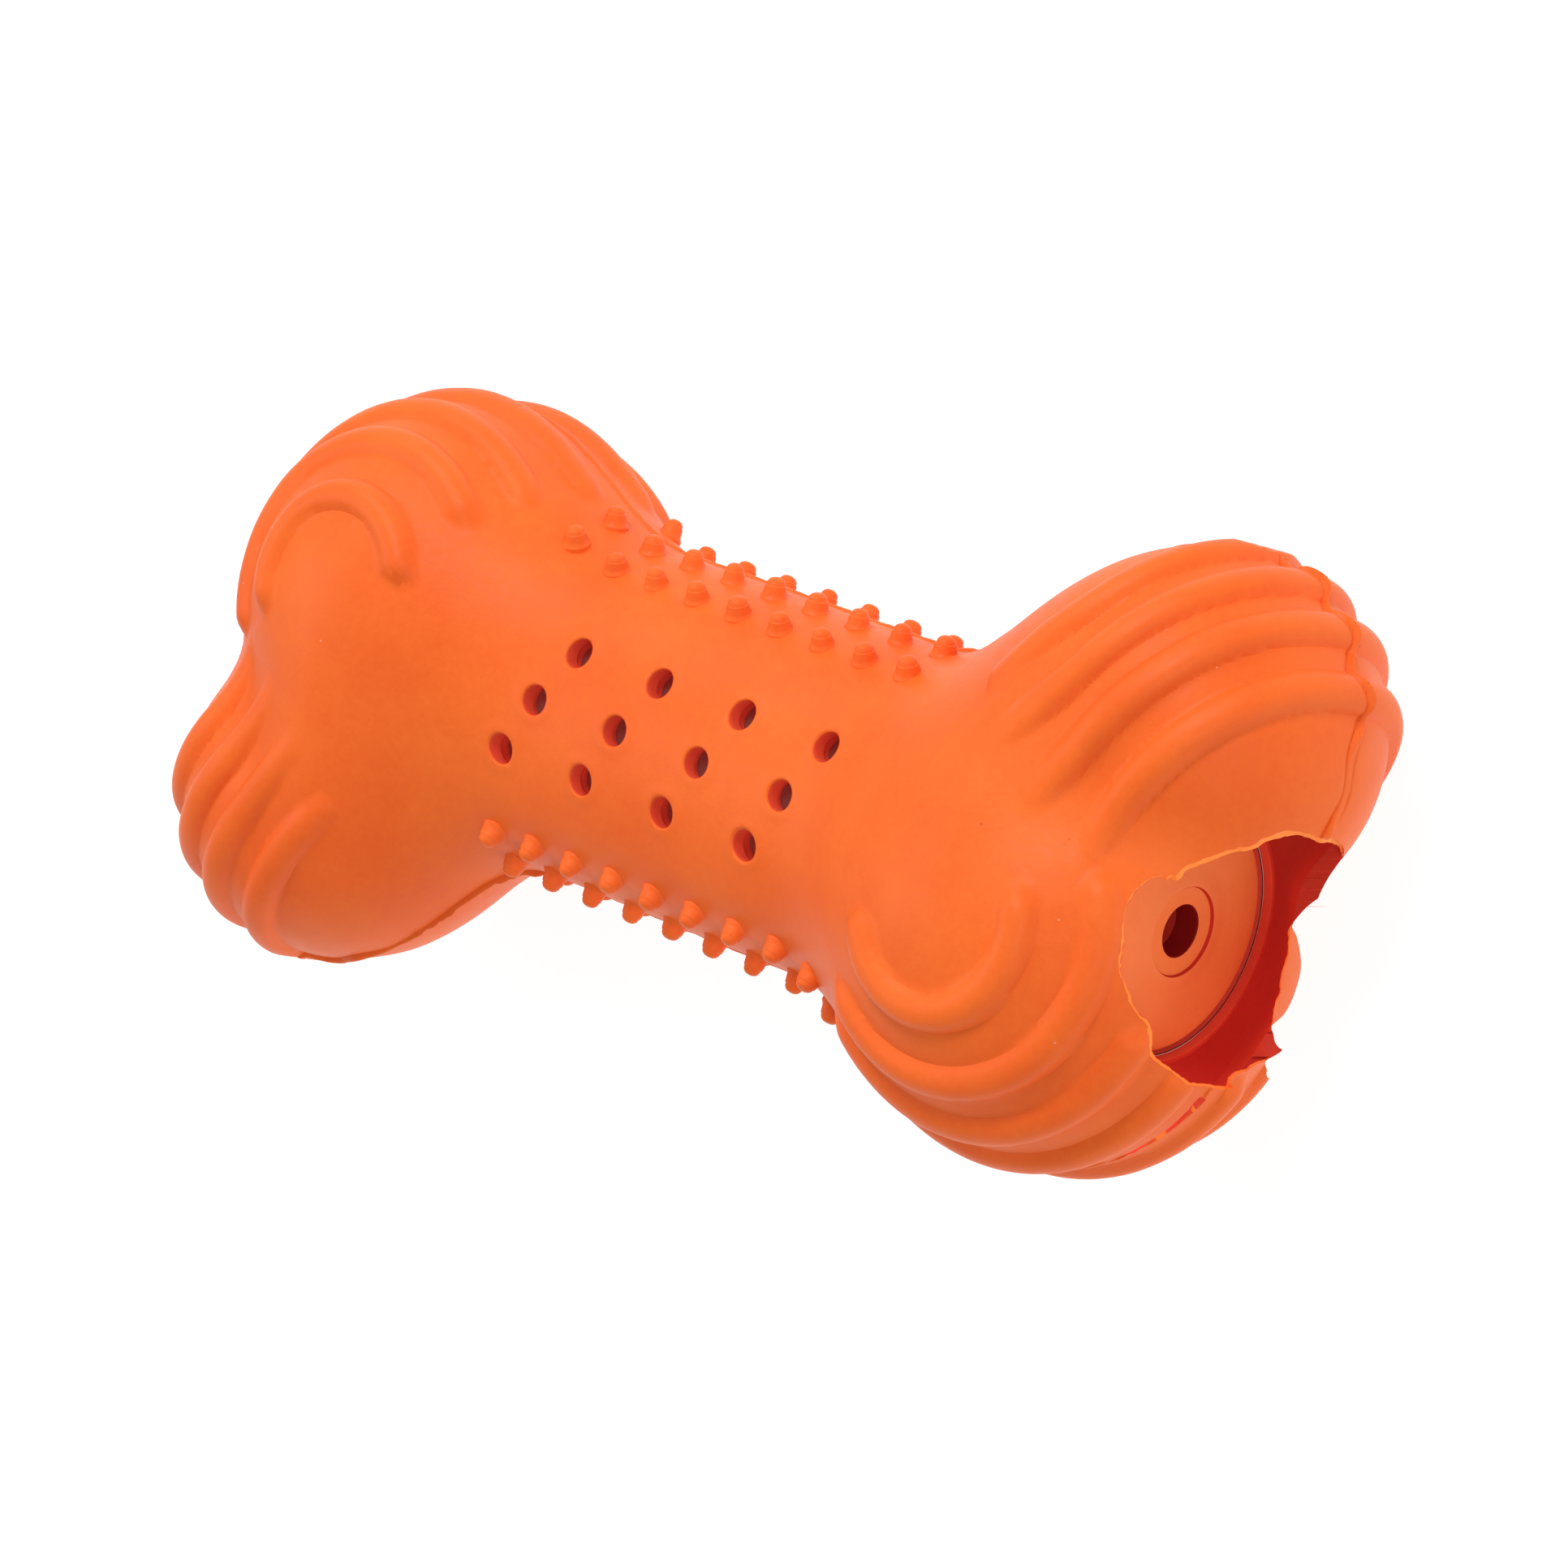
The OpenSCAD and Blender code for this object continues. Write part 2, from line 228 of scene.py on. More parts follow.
def ribs(p):
    q = end_frame(p)
    q = np.stack([q[:, 0], q[:, 1], np.abs(q[:, 2])], -1)
    total = np.zeros(len(p))
    near = q[:, 0] > RIBS_FROM_X
    part = q[near]
    h = np.zeros(len(part))
    ahead = np.array([1.0, 0, 0])
    for polar, start, stop, a, b in BIG_RIBS:
        h = np.maximum(h, lobe_rib(part, BIG_C, BIG_R, UP, ahead, polar, start, stop, (a, b)))
    for off, back in SMALL_RIBS:
        polar = math.degrees(math.acos(off / SMALL_R))
        turn = math.degrees(math.acos(back / (SMALL_R * math.sin(math.radians(polar)))))
        h = np.maximum(h, lobe_rib(part, SMALL_C, SMALL_R, SMALL_N, SMALL_M, polar, -turn, turn,
                                   SMALL_TAPER, lean=SMALL_LEAN, flank=-1))
    total[near] = h
    return total


HOLES = [((i - 1.5) * HOLE_PITCH + row * HOLE_STAGGER, row * HOLE_GAP) for row in (1, 0, -1) for i in range(4)]
HOLES_WITHIN = (20, 9)
# Height of the low swelling round a hole, how far from its middle the top lies, and how broad it is
RIM_H, RIM_R, RIM_W = 0.09, 1.55, 0.45


def hole_rims(p):
    h = np.zeros(len(p))
    near = (np.abs(p[:, 0]) < HOLES_WITHIN[0]) & (np.abs(p[:, 1]) < HOLES_WITHIN[1])
    part = p[near]
    g = np.zeros(len(part))
    for x, y in HOLES:
        d = np.hypot(part[:, 0] - x, part[:, 1] - y)
        g += RIM_H * np.exp(-((d - RIM_R) / RIM_W) ** 2)
    h[near] = g
    return h


# Round the big lobe's middle, the slit in the seam beside the mouth starts and ends at these angles
SLIT_FROM, SLIT_TO = -24.5, -56.0
SLIT_DEPTH = 0.95


def slit(p):
    """Depth of the slit where the seam has opened beside the mouth, wide at its upper end."""
    d = p - np.array([BIG_C[0], BIG_C[1], 0])
    turn = np.degrees(np.arctan2(d[:, 1], d[:, 0]))
    there = (turn < SLIT_FROM + 1) & (turn > SLIT_TO) & (p[:, 0] > BIG_C[0])
    t = np.clip((SLIT_FROM - turn) / (SLIT_FROM - SLIT_TO), 0, 1)
    width = 0.12 + 0.24 * (1 - t) + 0.14 * np.exp(-((t - 0.05) / 0.06) ** 2)
    depth = SLIT_DEPTH * smooth_step(0.0, 0.05, t) * smooth_step(1.0, 0.55, t)
    return np.where(there, depth * smooth_step(width * 1.15, width * 0.55, np.abs(p[:, 2])), 0)


FLASH_TALL, FLASH_HALF = 0.2, 0.22      # the seam's bead on the shaft: its height and half its width
BEAD_TALL, BEAD_HALF = 0.26, 0.14       # what both gain on the small lobe's ribs and past them
MOAT_DEPTH, MOAT_AT, MOAT_W = 0.14, 1.25, 0.45
WEAVE, WEAVE_PITCH = 0.5, 4.6           # how far the bead winds over the ribs
FLASH_WITHIN = 2.2


def flash(p):
    """The raised bead where the two moulded halves meet. It winds over the small lobe's ribs."""
    h = np.zeros(len(p))
    near = np.abs(p[:, 2]) < FLASH_WITHIN
    part = p[near]
    q = end_frame(part)
    flat = part * np.array([1, 1, 0])
    wander = 0.10 * hash_noise(flat, 0.23, 3.1) + 0.05 * hash_noise(flat, 1.1, 7.7)
    d = q - np.array([SMALL_C[0], SMALL_C[1], 0])
    off = np.linalg.norm(d, axis=1) - SMALL_R
    along = d @ SMALL_N
    on_small = smooth_step(1.5, -0.5, off) * smooth_step(3, 8, d @ SMALL_M)
    wander += on_small * WEAVE * np.sin(2 * math.pi * (along - 0.4) / WEAVE_PITCH)
    fillet = smooth_step(14, 18, q[:, 0]) * smooth_step(31, 27, q[:, 0]) * (q[:, 1] > 0)
    past_ribs = smooth_step(0, 4, along) * smooth_step(2.5, -0.5, off)
    bead = np.maximum(on_small, past_ribs)
    tall = FLASH_TALL + 0.06 * hash_noise(flat, 0.9, 1.3) + BEAD_TALL * bead
    tall += fillet * (0.22 + 0.18 * hash_noise(flat, 1.7, 9.2))
    half = FLASH_HALF + BEAD_HALF * bead + 0.04 * hash_noise(flat, 0.7, 5.5)
    across = np.abs(part[:, 2] - wander) / half
    moat = MOAT_DEPTH * bead * np.exp(-((across - MOAT_AT) / MOAT_W) ** 2)
    h[near] = (tall * np.sqrt(np.maximum(1 - across ** 2, 0)) - moat) * (1 - (slit(part) > 0))
    return h


def hand_made(p):
    """The small unevenness of a soft moulding."""
    return 0.05 * hash_noise(p, 0.11, 2.0) + 0.025 * hash_noise(p, 0.31, 5.0)


SPIKE_H, SPIKE_R = 0.5, 0.75


def spike(p):
    """The torn point that stands out under the mouth."""
    ray = rays([SPIKE])
    at = (CAM_AT + ray * near_and_far(ray)[1][:, None])[0]
    return SPIKE_H * np.exp(-((np.linalg.norm(p - at, axis=-1) / SPIKE_R) ** 2))


# The skin lies this far under the CAD's surface, so that its unevenness stays inside it
SKIN_UNDER = 0.05


def relief(p):
    return ribs(p) + hole_rims(p) + flash(p) + hand_made(p) + spike(p) - slit(p) - SKIN_UNDER


# ---------------------------------------------------------------- meshes

# The surface is swept by rays from a spine in each lobe. Their directions turn by way of these angles
BIG_FAN = (-90, -113, 8, 23)
SMALL_FAN = (-46, -31, 125, 160)
SKIRT = 1.0     # how far a half goes past the seam, until the seam's cut


def bone_half(inset, counts, rings, shaped, lower):
    """One half of the bone as a closed mesh that goes a little past the seam. Returns points and faces."""
    n_shaft, n_neck, n_big, n_crotch, n_small = counts
    big, small = np.array([*BIG_C, 0.0]), np.array([*SMALL_C, 0.0])
    neck_at = np.array([BIG_C[0] * 0.7, 0.0, 0.0])
    spine = [neck_at * i / n_shaft for i in range(n_shaft + 1)]
    spine += [lerp(neck_at, big, i / n_neck) for i in range(1, n_neck + 1)]
    spine += [lerp(big, small, i / (2 * n_crotch)) for i in range(1, 2 * n_crotch + 1)]
    at_big = n_shaft + n_neck
    at_small = at_big + 2 * n_crotch
    back = at_small - n_shaft

    def fan(angles, i, n):
        return lerp(angles[0], angles[1], i / n)

    # Each stop: where its ray starts, the ray's angle, and the spine point on which its faces close
    stops = [(spine[i], -90, i) for i in range(n_shaft + 1)]
    stops += [(spine[n_shaft + i], fan(BIG_FAN[0:2], i, n_neck), n_shaft + i) for i in range(1, n_neck + 1)]
    stops += [(big, fan(BIG_FAN[1:3], i, n_big), at_big) for i in range(1, n_big + 1)]
    stops += [(big, fan(BIG_FAN[2:4], i, n_crotch), at_big + i) for i in range(1, n_crotch + 1)]
    stops += [(small, fan(SMALL_FAN[0:2], i, n_crotch), at_big + n_crotch + i) for i in range(n_crotch + 1)]
    stops += [(small, fan(SMALL_FAN[1:3], i, n_small), at_small) for i in range(1, n_small + 1)]
    stops += [(small, fan(SMALL_FAN[2:4], i, back), at_small - i) for i in range(1, back + 1)]
    stops += [(spine[i], 90, i) for i in range(n_shaft - 1, 0, -1)]
    start = np.array([s[0] for s in stops])
    angle = np.radians([s[1] for s in stops])
    along = np.stack([np.cos(angle), np.sin(angle), 0 * angle], -1)
    hub = np.array([s[2] for s in stops])
    start = np.concatenate([start, start * [-1, -1, 1]])
    along = np.concatenate([along, along * [-1, -1, 1]])
    count = len(start)
    hub = np.concatenate([hub, np.where(hub == 0, 0, hub + at_small)])
    spine = np.array(spine)
    spine = np.concatenate([spine, -spine[1:]])

    rim = start + along * reach(start, along, inset)[:, None]
    levels = np.cos(np.radians(rings))
    flat = spine[hub][:, None, :] + (rim - spine[hub])[:, None, :] * levels[None, :, None]
    flat = flat.reshape(-1, 3)
    height = reach_up(flat, inset)
    height[:: len(rings)] = 0
    grid = flat + UP * height[:, None]
    ridge = spine + UP * reach_up(spine, inset)[:, None]
    points = np.concatenate([grid, ridge])
    if shaped:
        true = points * [1, 1, -1 if lower else 1]
        points = points + normals(points) * relief(true)[:, None]
        points = np.clip(points, [-BOX_X, -BOX_Y, -BOX_Z], [BOX_X, BOX_Y, BOX_Z])
    skirt = points[: len(grid): len(rings)] - UP * SKIRT
    bottom = spine - UP * SKIRT
    points = np.concatenate([points, skirt, bottom])

    r0, s0, f0 = len(grid), len(grid) + len(ridge), len(grid) + len(ridge) + count
    k = len(rings)
    i = np.arange(count)
    j = (i + 1) % count
    quads = [np.stack([i * k + ring, j * k + ring, j * k + ring + 1, i * k + ring + 1], -1)
             for ring in range(k - 1)]
    quads = np.concatenate(quads + [np.stack([s0 + i, s0 + j, j * k, i * k], -1)])
    tris = [np.stack([i * k + k - 1, j * k + k - 1, r0 + hub[i]], -1),
            np.stack([s0 + j, s0 + i, f0 + hub[i]], -1)]
    moved = hub[i] != hub[j]
    a, b = i[moved], j[moved]
    tris.append(np.stack([b * k + k - 1, r0 + hub[b], r0 + hub[a]], -1))
    tris.append(np.stack([s0 + b, f0 + hub[a], f0 + hub[b]], -1))
    tris = np.concatenate(tris)
    if lower:
        points = points * [1, 1, -1]
        quads, tris = quads[:, ::-1], tris[:, ::-1]
    return points, quads.tolist() + tris.tolist()


def new_object(name, points, faces):
    mesh = bpy.data.meshes.new(name)
    mesh.from_pydata(np.asarray(points, float).tolist(), [], faces)
    mesh.validate()
    obj = bpy.data.objects.new(name, mesh)
    bpy.context.scene.collection.objects.link(obj)
    return obj


def combine(obj, tools):
    """Runs the booleans and keeps their result. tools is a list of (object, operation)."""
    for tool, operation in tools:
        mod = obj.modifiers.new("cut", "BOOLEAN")
        mod.operation = operation
        mod.solver = "MANIFOLD"
        mod.object = tool
    bpy.context.view_layer.update()
    graph = bpy.context.evaluated_depsgraph_get()
    mesh = bpy.data.meshes.new_from_object(obj.evaluated_get(graph))
    obj.modifiers.clear()
    obj.data = mesh


def largest_part(obj):
    """Keeps the biggest joined-up part of a mesh and deletes crumbs that a cut has left."""
    count = len(obj.data.vertices)
    ends = np.zeros(len(obj.data.edges) * 2, dtype=int)
    obj.data.edges.foreach_get("vertices", ends)
    a, b = ends[::2], ends[1::2]
    label = np.arange(count)
    while True:
        low = np.minimum(label[a], label[b])
        new = label.copy()
        np.minimum.at(new, a, low)
        np.minimum.at(new, b, low)
        new = new[new]
        if (new == label).all():
            break
        label = new
    main = np.bincount(label).argmax()
    mesh = bmesh.new()
    mesh.from_mesh(obj.data)
    mesh.verts.ensure_lookup_table()
    crumbs = [mesh.verts[i] for i in np.nonzero(label != main)[0]]
    bmesh.ops.delete(mesh, geom=crumbs, context="VERTS")
    mesh.to_mesh(obj.data)
    mesh.free()


def drop(*objects):
    for obj in objects:
        bpy.data.objects.remove(obj)


def lathe(profile, segments):
    """Turns an outline of (radius, distance along X) into a ring. A radius of zero closes it on the axis."""
    angle = np.arange(segments) * 2 * math.pi / segments
    points, rows = [], []
    for r, a in profile:
        if r == 0:
            rows.append([len(points)] * segments)
            points.append((a, 0, 0))
            continue
        rows.append(list(range(len(points), len(points) + segments)))
        points += [(a, r * math.cos(t), r * math.sin(t)) for t in angle]
    faces = []
    closed = all(r > 0 for r, _ in profile)
    for n in range(len(rows) if closed else len(rows) - 1):
        low, high = rows[n], rows[(n + 1) % len(rows)]
        for s in range(segments):
            t = (s + 1) % segments
            quad = [low[s], low[t], high[t], high[s]]
            face = [v for m, v in enumerate(quad) if v != quad[m - 1]]
            if len(face) > 2:
                faces.append(face)
    return np.array(points, float), faces


# A nub's half section as (radius, height): its root in the rubber, the foot's flare, a shoulder, the tip
NUB_SHAPE = [
    (0, -0.9), (1.10, -0.9), (1.14, -0.20), (1.04, -0.02), (0.96, 0.08), (0.92, 0.22), (0.88, 0.45),
    (0.84, 0.66), (0.81, 0.78), (0.75, 0.82), (0.73, 0.86), (0.70, 1.01), (0.61, 1.17), (0.47, 1.29),
    (0.31, 1.36), (0.15, 1.39), (0, 1.40),
]
NUB_SEGMENTS = 32
NUB_VARY = 0.05


def nub_mesh(x, angle, number):
    """One nub. Its number makes it a little broader or taller than the next."""
    t = math.radians(angle)
    out = np.array([0, math.cos(t), math.sin(t)])
    foot = np.array([x, 0, 0]) + out * reach(np.array([[x, 0, 0.0]]), out[None], 0)[0]
    vary = 1 + NUB_VARY * math.sin(number * 12.9898)
    tall = NUB_H * (1 + NUB_VARY * math.sin(number * 78.233))
    shape = [(r * vary, a * tall / NUB_H if a > 0 else a) for r, a in NUB_SHAPE]
    points, faces = lathe(shape, NUB_SEGMENTS)
    ahead = np.array([1.0, 0, 0])
    turned = foot + points[:, :1] * out + points[:, 1:2] * ahead + points[:, 2:3] * np.cross(out, ahead)
    return turned, faces


def joined(pieces):
    points, faces, base = [], [], 0
    for p, f in pieces:
        points.append(p)
        faces += [[v + base for v in face] for face in f]
        base += len(p)
    return np.concatenate(points), faces


def nubs(lower):
    first = -NUB_PITCH * (NUB_COUNT - 1) / 2
    pieces = []
    for i in range(NUB_COUNT):
        for angle in NUB_ANGLES:
            for up in (angle, 180 - angle):
                number = len(pieces) + (40 if lower else 0)
                pieces.append(nub_mesh(first + i * NUB_PITCH, -up if lower else up, number))
    return joined(pieces)


HOLE_SIDES = 40
HOLE_FOOT = 2.0     # the height at which a hole's cutter starts, inside the bone
# How the cutter widens, as (what the bore gains, height over the surface)
HOLE_FLARE = [(0, -0.6), (0.02, -0.30), (0.06, -0.13), (0.13, -0.03), (0.24, 0.04), (0.34, 0.10), (0.4, 3)]


def hole_cutters(lower, bore):
    """Sound hole cutters whose rims open out in a small round along the surface."""
    n = HOLE_SIDES
    turn = np.arange(n) * 2 * math.pi / n
    pieces = []
    for x, y in HOLES:
        points = []
        for wider, height in [(0, None)] + HOLE_FLARE:
            r = bore + wider
            ring = np.stack([x + r * np.cos(turn), y + r * np.sin(turn), 0 * turn], -1)
            ring[:, 2] = HOLE_FOOT if height is None else reach_up(ring, 0) + height
            points.append(ring)
        last = (len(points) - 1) * n
        faces = [[m + s, m + (s + 1) % n, m + n + (s + 1) % n, m + n + s]
                 for m in range(0, last, n) for s in range(n)]
        faces += [list(reversed(range(n))), [last + s for s in range(n)]]
        pieces.append((np.concatenate(points), faces))
    points, faces = joined(pieces)
    if lower:
        points = points * [1, 1, -1]
        faces = [list(reversed(f)) for f in faces]
    return points, faces


# The torn mouth's edge, by places read off the photograph
MOUTH_TOP = [
    (1383, 1135), (1390, 1109), (1402, 1093), (1415, 1082), (1431, 1078), (1437, 1082), (1441, 1076),
    (1449, 1078), (1454, 1072), (1465, 1065), (1486, 1057), (1507, 1049), (1524, 1043), (1539, 1042),
    (1554, 1033), (1570, 1028), (1587, 1023), (1604, 1024), (1619, 1029), (1629, 1033), (1640, 1032),
    (1649, 1036), (1655, 1043), (1659, 1053),
]
MOUTH_RIGHT = [
    (1594, 1139), (1589, 1154), (1587, 1179), (1580, 1203), (1578, 1222), (1572, 1237), (1569, 1256),
    (1569, 1270),
]
MOUTH_LOW = [
    (1562, 1307), (1549, 1311), (1541, 1315), (1536, 1320), (1524, 1324), (1517, 1329), (1515, 1336),
    (1520, 1340), (1505, 1342), (1486, 1339), (1465, 1337), (1455, 1330), (1440, 1319), (1429, 1311),
    (1421, 1305), (1417, 1298), (1416, 1281), (1412, 1262), (1402, 1251), (1392, 1235), (1387, 1222),
    (1382, 1209), (1378, 1197), (1379, 1178), (1382, 1155),
]
# Stretches of the near wall's edge, each with how broad its torn face looks. The two stretches of breadth
# zero run off the bone
MOUTH = [
    (MOUTH_TOP[:6], 2.0),
    (MOUTH_TOP[6:], 6.0),
    ([(1700, 1056), (1700, 1128)], 0.0),
    (MOUTH_RIGHT, 1.5),
    ([(1604, 1276), (1604, 1300)], 0.0),
    (MOUTH_LOW, 3.5),
]
# Where the far wall is torn away as well, and the white ground shows
GAP = [
    (1660, 1060), (1656, 1071), (1649, 1082), (1644, 1090), (1634, 1100), (1612, 1116), (1598, 1131),
    (1592, 1141), (1597, 1152), (1601, 1168), (1603, 1185), (1602, 1200), (1598, 1215), (1592, 1232),
    (1582, 1250), (1567, 1264), (1569, 1274), (1571, 1284), (1576, 1291), (1580, 1294), (1572, 1300),
    (1559, 1308), (1561, 1318), (1562, 1328), (1640, 1340), (1720, 1340), (1720, 1060),
]
SPIKE = (1575, 1293)                    # the torn point, on the far wall
LENGTHS = np.arange(370, 530, 0.25)     # distances from the camera, from before the open end to past it
EDGE_STEP, GAP_STEP = 2.5, 4.0          # spacing of the cut edges' points, in the photograph
ROUGH = 1.3                             # how far the torn edge strays, in the photograph
BEFORE = 8.0                            # how far in front of the bone the plug starts


def rays(px):
    """The directions in which the camera sees these places of the photograph."""
    px = np.asarray(px, float)
    return unit(((px[:, :1] - IMAGE / 2) * CAM_RIGHT - (px[:, 1:] - IMAGE / 2) * CAM_UP) / FOCAL - CAM_BACK)


def near_and_far(ray):
    """How far off the bone begins and ends on each ray. A ray that misses it gives its closest place twice."""
    out = []
    for row in field(CAM_AT + ray[:, None, :] * LENGTHS[None, :, None]):
        inside = np.nonzero(row < 0)[0]
        if len(inside) == 0:
            out.append([LENGTHS[row.argmin()]] * 2)
        else:
            out.append([lerp(LENGTHS[i], LENGTHS[i + 1], row[i] / (row[i] - row[i + 1]))
                        for i in (inside[0] - 1, inside[-1])])
    return np.array(out).T


def smooth_loop(edge, spacing, values):
    """A closed curve through the edge's points, and values along it. Its tangents stay short beside short
    steps."""
    after = np.roll(edge, -1, 0)
    step = after - edge
    length = np.linalg.norm(step, axis=1)
    tangent = (step + np.roll(step, 1, 0)) / 2
    limit = np.minimum(length, np.roll(length, 1)) / np.maximum(np.linalg.norm(tangent, axis=1), TINY)
    tangent *= np.minimum(limit, 1)[:, None]
    dense, carried = [], []
    for i in range(len(edge)):
        j = (i + 1) % len(edge)
        count = max(2, int(length[i] / spacing))
        for k in range(count):
            t = k / count
            dense.append(edge[i] * (1 + 2 * t) * (1 - t) ** 2 + tangent[i] * t * (1 - t) ** 2
                         + after[i] * t * t * (3 - 2 * t) + tangent[j] * t * t * (t - 1))
            carried.append(lerp(values[i], values[j], t))
    return np.array(dense), np.array(carried)


def plug(rings, px):
    """A closed mesh from rings of points that run alike, capped along the outline px."""
    m = len(px)
    faces = [[k * m + s, k * m + (s + 1) % m, (k + 1) * m + (s + 1) % m, (k + 1) * m + s]
             for k in range(len(rings) - 1) for s in range(m)]
    cap = tessellate_polygon([[Vector((x, y, 0)) for x, y in px]])
    around = sum((px[b][0] - px[a][0]) * (px[c][1] - px[a][1]) - (px[b][1] - px[a][1]) * (px[c][0] - px[a][0])
                 for a, b, c in cap)
    area = np.sum(px[:, 0] * np.roll(px[:, 1], -1) - px[:, 1] * np.roll(px[:, 0], -1))
    front = [list(t) if around * area < 0 else list(t)[::-1] for t in cap]
    last = (len(rings) - 1) * m
    return np.concatenate(rings), faces + front + [[last + v for v in t[::-1]] for t in front]


def mouth_cutters():
    """A plug that opens the near wall, and a cut right through at the gap. Both run along the view."""
    loop = np.array([place for places, _ in MOUTH for place in places], float)
    broad = np.concatenate([np.full(len(places), width) for places, width in MOUTH])
    px, broad = smooth_loop(loop, EDGE_STEP, broad)
    along = np.roll(px, -1, 0) - np.roll(px, 1, 0)
    inward = unit(np.stack([along[:, 1], -along[:, 0]], 1))
    inward *= np.sign(np.sum(inward * (px.mean(0) - px)))
    view = rays(px)
    near, far = near_and_far(view)
    facing = np.abs(np.sum(normals(CAM_AT + view * near[:, None]) * view, axis=1))
    wall = np.minimum(1.1 * WALL / np.maximum(facing, 0.15), 0.4 * (far - near))
    rings = []
    for part, depth in [(0, near - BEFORE)] + [(max(f, 0), near + wall * f) for f in np.linspace(-0.2, 1, 9)]:
        p = CAM_AT + view * depth[:, None]
        push = ROUGH * (hash_noise(p, 1.3, 4.0) + 0.8 * hash_noise(p, 3.1, 8.0)) + broad * part
        rings.append(CAM_AT + rays(px + inward * push[:, None]) * depth[:, None])
    rings.append(CAM_AT + rays(px + inward * broad[:, None]) * ((near + far) / 2)[:, None])
    edge, _ = smooth_loop(np.array(GAP, float), GAP_STEP, np.zeros(len(GAP)))
    through = [CAM_AT + rays(edge) * length for length in (LENGTHS[0], LENGTHS[-1])]
    return [plug(rings, px), plug(through, edge)]


def seam_box(lower):
    """What takes a half's skirt away at the seam."""
    x, y, h = 62.0, 36.0, 6.0
    z0, z1 = (0.0, h) if lower else (-h, 0.0)
    points = [(sx * x, sy * y, z) for z in (z0, z1) for sy in (-1, 1) for sx in (-1, 1)]
    faces = [[0, 2, 3, 1], [4, 5, 7, 6], [0, 1, 5, 4], [2, 6, 7, 3], [0, 4, 6, 2], [1, 3, 7, 5]]
    return points, faces


def outward(obj):
    """Turns the faces so that the volume is positive."""
    mesh = obj.data
    mesh.calc_loop_triangles()
    p = np.array([v.co[:] for v in mesh.vertices])
    t = np.array([tri.vertices[:] for tri in mesh.loop_triangles])
    volume = np.einsum("ij,ij->i", p[t[:, 0]], np.cross(p[t[:, 1]], p[t[:, 2]])).sum()
    if volume < 0:
        mesh.flip_normals()
    return obj


def centres_of(obj):
    return np.array([f.center[:] for f in obj.data.polygons])


def hand_over(obj, name, materials, kind, sharp):
    """Gives each face its material, takes the mesh to metres and to its height, and hands the piece over."""
    mesh = obj.data
    mesh.materials.clear()
    for material in materials:
        mesh.materials.append(material)
    mesh.polygons.foreach_set("material_index", kind.astype(np.int32))
    mesh.transform(Matrix.Scale(MM, 4) @ Matrix.Translation((0, 0, REST_H)))
    mesh.shade_smooth()
    mesh.set_sharp_from_angle(angle=math.radians(sharp))
    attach(obj, "root")
    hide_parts(name)


# ---------------------------------------------------------------- materials

def node(tree, kind, **values):
    """Adds a node. A value whose key starts with in_ goes to the socket of that name."""
    made = tree.nodes.new(kind)
    for key, value in values.items():
        if key.startswith("in_"):
            made.inputs[key[3:].replace("_", " ")].default_value = value
        else:
            setattr(made, key, value)
    return made


def noise(tree, where, scale, detail, roughness=0.5):
    """The value of a noise texture in the object's own coordinates."""
    made = node(tree, "ShaderNodeTexNoise", in_Scale=scale, in_Detail=detail, in_Roughness=roughness)
    tree.links.new(where.outputs["Object"], made.inputs["Vector"])
    return made.outputs["Fac"]


def remap(tree, value, start, stop, low, high, kind="LINEAR"):
    """Takes start..stop to low..high."""
    made = node(tree, "ShaderNodeMapRange", interpolation_type=kind, in_From_Min=start, in_From_Max=stop,
                in_To_Min=low, in_To_Max=high)
    tree.links.new(value, made.inputs["Value"])
    return made.outputs["Result"]


def maths(tree, operation, *values):
    """A value worked out from others, each a number or another node's value."""
    made = node(tree, "ShaderNodeMath", operation=operation)
    for socket, value in zip(made.inputs, values):
        if isinstance(value, float):
            socket.default_value = value
        else:
            tree.links.new(value, socket)
    return made.outputs[0]


def mix(tree, share, first, second):
    """One colour into another, each a colour or another node's colour."""
    made = node(tree, "ShaderNodeMix", data_type="RGBA")
    tree.links.new(share, made.inputs[0])
    for socket, colour in ((made.inputs[6], first), (made.inputs[7], second)):
        if isinstance(colour, tuple):
            socket.default_value = colour
        else:
            tree.links.new(colour, socket)
    return made.outputs[2]


def bump(tree, value, strength, distance, under=None):
    made = node(tree, "ShaderNodeBump", in_Strength=strength, in_Distance=distance)
    tree.links.new(value, made.inputs["Height"])
    if under is not None:
        tree.links.new(under, made.inputs["Normal"])
    return made.outputs["Normal"]


def srgb(r, g, b):
    return tuple(((c / 255 + 0.055) / 1.055) ** 2.4 if c > 10 else c / 255 / 12.92 for c in (r, g, b)) + (1,)


def new_material(name):
    """A material, its node tree, its shader, and the node that gives the object's coordinates."""
    material = bpy.data.materials.new(name)
    material.use_nodes = True
    tree = material.node_tree
    return material, tree, tree.nodes["Principled BSDF"], node(tree, "ShaderNodeTexCoord")


# Dust in the rubber, light and dark: specks a metre, the share of them left out, colour, strength
DUST = ((520.0, 0.93, srgb(255, 200, 178), 0.55), (330.0, 0.93, srgb(140, 50, 25), 0.4))
DUST_SIZE = 0.035
ROUGHNESS_SPREAD = 0.06


